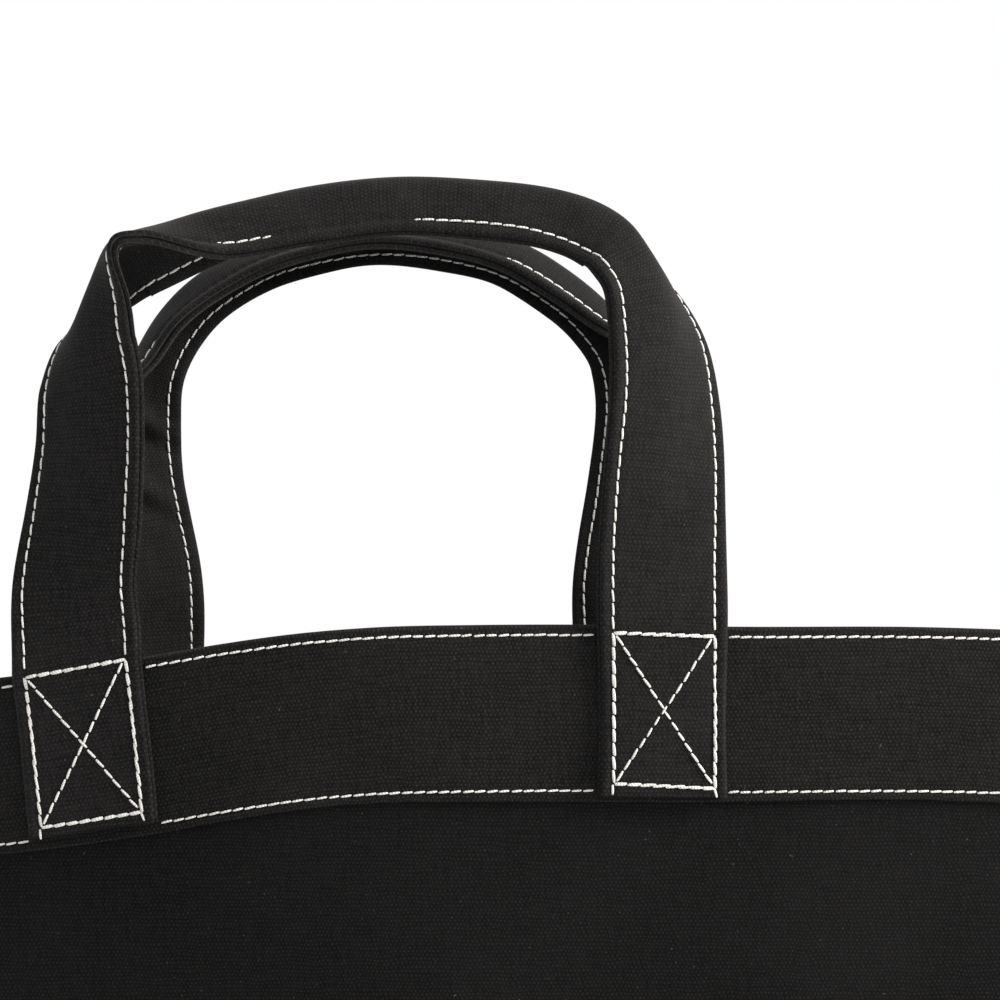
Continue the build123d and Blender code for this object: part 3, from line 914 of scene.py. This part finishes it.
def hinge_line(joint):
    """Two points across a handle's hinge, which is tilted: 1 mm under its place and 20 mm over it.
    """
    axis = Vector(joint["axis"]).normalized()
    up = Vector((0, 0, 1)) - axis * axis.z
    up.normalize()
    at = Vector(joint["pos_m"])
    return at - up * 1 * MM, at + up * 20 * MM


def box_rows(strap, side, outward):
    """The sewn box and cross that hold a foot to the band, with the tails of its thread."""
    wall, middle, half = strap.wall, strap.feet_at[side], STRAP_ROW

    def line(a, b, count=80):
        """A line on the foot. Its ends are (along the wall, down), from the rim's middle."""
        t = np.linspace(0, 1, count)
        aside, down = a[0] + (b[0] - a[0]) * t, a[1] + (b[1] - a[1]) * t
        along = FOOT - down
        if outward:
            sunk = strap_dimple(along, aside)
            sunk = STRAP_FACE - strap_slack(strap, along, aside) - sunk
        else:
            sunk = LEAF_INSIDE - band_shape(wall, middle + aside, down)
        height = wall.rim(middle + aside) - down + strap.raised[side] + aside * strap.tilt[side]
        points, outs = wall.point(middle + aside, height, sunk)
        return points, outs if outward else -outs

    top, low = UPPER_ROW, BOX_LOW
    corners = [(-half, top), (half, top), (half, low + CROOKED), (-half, low - CROOKED)]
    rows, nudge = [], 0.28 * MM
    for a, b in zip(corners, corners[1:] + corners[:1]):
        rows.append(sewn(*line(a, b), STRAP_PITCH))
        if outward:
            rows.append(sewn(*line((a[0] + nudge, a[1] + nudge), (b[0] + nudge, b[1] + nudge)),
                             STRAP_PITCH * 0.96))
    inset = 0.8 * MM
    rows.append(sewn(*line((-half + inset, top + inset), (half - inset, low - inset)), 3.8 * MM))
    rows.append(sewn(*line((half - inset, top + inset), (-half + inset, low - inset)), 3.8 * MM))
    if outward:
        for corner, slide in ((-half, -0.3), (half, 0.8)):
            rows.append(sewn(*line((corner, low), (corner + slide * MM, low + 3.2 * MM), 12),
                             3.2 * MM, 0.97))
    return rows


def handle(place, strap, joint):
    """A handle: two strips, the sewn boxes at their feet, and the rows along their edges."""
    body = f"{place}_handle"
    ends = {side: f"{body}_{side}_end" for side in ("left", "right")}
    line = hinge_line(joint)
    for part, half, top in (("facing", FACING_HALF, 0.0), ("backing", BACKING_HALF, BACKING_DEPTH)):
        nodes = [f"{body}_loop_{part}", *(f"{end}_{part}" for end in ends.values())]
        strap_strip(f"{body}_{part}", strap, half, top, part == "facing", nodes)
    for side in (-1, 1):
        on_right = (side == 1) != strap.mirrored
        end = ends["right" if on_right else "left"]
        made = join(box_rows(strap, side, True) + box_rows(strap, side, False))
        obj = stitches(f"{end}_box", *made, COTTON, 1.1)
        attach(obj, "bag")
        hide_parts(f"{end}_box_stitching")

    first, last = FOOT - UPPER_ROW + 1 * MM, strap.along[-1] - FOOT + UPPER_ROW - 1 * MM
    for edge, across in (("inner", STRAP_ROW), ("outer", -STRAP_ROW)):
        parts = BURIED.get((place, edge), ())
        front = sewn(*strap_line(strap, across, first, last, True, parts), STRAP_PITCH)
        back = sewn(*strap_line(strap, across, first + 8 * MM, last - 8 * MM, False, parts),
                    STRAP_PITCH)
        obj = stitches(f"{body}_{edge}_row", *join([front, back]), COTTON)
        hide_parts(f"{body}_{edge}_edge_stitching")
        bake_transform(obj)


# ---------------------------------------------------------------- building it

WAVER = Waves(7, 22 * MM, 80 * MM)
FEET = {"front": FRONT_FEET, "back": BACK_FEET}
JOINTS = {joint["name"]: joint for joint in frame["joints"]}

walls = list(WALLS.values())
base(walls)
for place, wall in WALLS.items():
    panel(place, wall)
    band(place, wall)
    rim_rows(place, wall, FEET.get(place))
CORNERS = {"front_right": ("front", "right"), "back_right": ("right", "back"),
           "back_left": ("back", "left"), "front_left": ("left", "front")}
for corner, (place, after) in CORNERS.items():
    binding(corner, WALLS[place], WALLS[after])

STRAPS = {
    "front": Strap(WALLS["front"], FRONT_FEET, FRONT_PATH, FRONT_CREASES,
                   raised=FRONT_RAISED, tilt=FRONT_TILT),
    "back": Strap(WALLS["back"], BACK_FEET, BACK_PATH, BACK_CREASES, mirrored=True),
}
for place, strap in STRAPS.items():
    handle(place, strap, JOINTS[f"{place}_handle_fold"])


# ---------------------------------------------------------------- floor, light and camera


def plain(name, colour, roughness):
    """An even material, for what isn't part of the bag."""
    material = bpy.data.materials.new(name)
    material.use_nodes = True
    shader = material.node_tree.nodes["Principled BSDF"]
    shader.inputs["Base Color"].default_value = colour
    shader.inputs["Roughness"].default_value = roughness
    return material


FLOOR_HALF = 1.4
floor_mesh = bpy.data.meshes.new("floor")
floor_mesh.from_pydata([(-FLOOR_HALF, -FLOOR_HALF, 0), (FLOOR_HALF, -FLOOR_HALF, 0),
                        (FLOOR_HALF, FLOOR_HALF, 0), (-FLOOR_HALF, FLOOR_HALF, 0)], [],
                       [(0, 1, 2, 3)])
floor_mesh.materials.append(plain("floor", (0.82, 0.82, 0.82, 1), 0.8))
floor = bpy.data.objects.new("floor", floor_mesh)
bpy.context.collection.objects.link(floor)

world = bpy.data.worlds.new("studio")
world.use_nodes = True
world.node_tree.nodes["Background"].inputs[0].default_value = (1, 1, 1, 1)
world.node_tree.nodes["Background"].inputs[1].default_value = 1.0
bpy.context.scene.world = world
bpy.context.scene.view_settings.view_transform = "Standard"


def softbox(name, place, size, power):
    """An area light that points at the middle of the bag."""
    lamp = bpy.data.lights.new(name, "AREA")
    lamp.shape, lamp.size, lamp.energy, lamp.color = "DISK", size, power, (1, 0.975, 0.94)
    obj = bpy.data.objects.new(name, lamp)
    obj.location = place
    aim = Vector((0, 0, RIM_HEIGHT)) - Vector(place)
    obj.rotation_euler = aim.to_track_quat("-Z", "Y").to_euler()
    bpy.context.collection.objects.link(obj)


# Each light's name, place, size across and watts
LIGHTS = ("key", (1.6, -0.55, 1.15), 0.9, 70), ("top", (0.3, 0.2, 2.0), 1.0, 4)
for light in LIGHTS:
    softbox(*light)

CAMERA_AWAY = 1.70  # in front of the front wall
CAMERA_SIDE = 37 * MM
CAMERA_HEIGHT = 225 * MM
AIM_HEIGHT = 336.8 * MM
FOCAL_LENGTH = 211.6  # millimetres, for a sensor this wide
SENSOR_WIDTH = 36
lens = bpy.data.cameras.new("camera")
lens.sensor_width = SENSOR_WIDTH
lens.lens = FOCAL_LENGTH
lens.clip_start, lens.clip_end = 0.1, 50
camera = bpy.data.objects.new("camera", lens)
camera.location = (CAMERA_SIDE, -MOUTH_HALF_DEPTH - CAMERA_AWAY, CAMERA_HEIGHT)
aim = Vector((CAMERA_SIDE, -MOUTH_HALF_DEPTH, AIM_HEIGHT)) - camera.location
camera.rotation_euler = aim.to_track_quat("-Z", "Y").to_euler()
bpy.context.collection.objects.link(camera)
bpy.context.scene.camera = camera
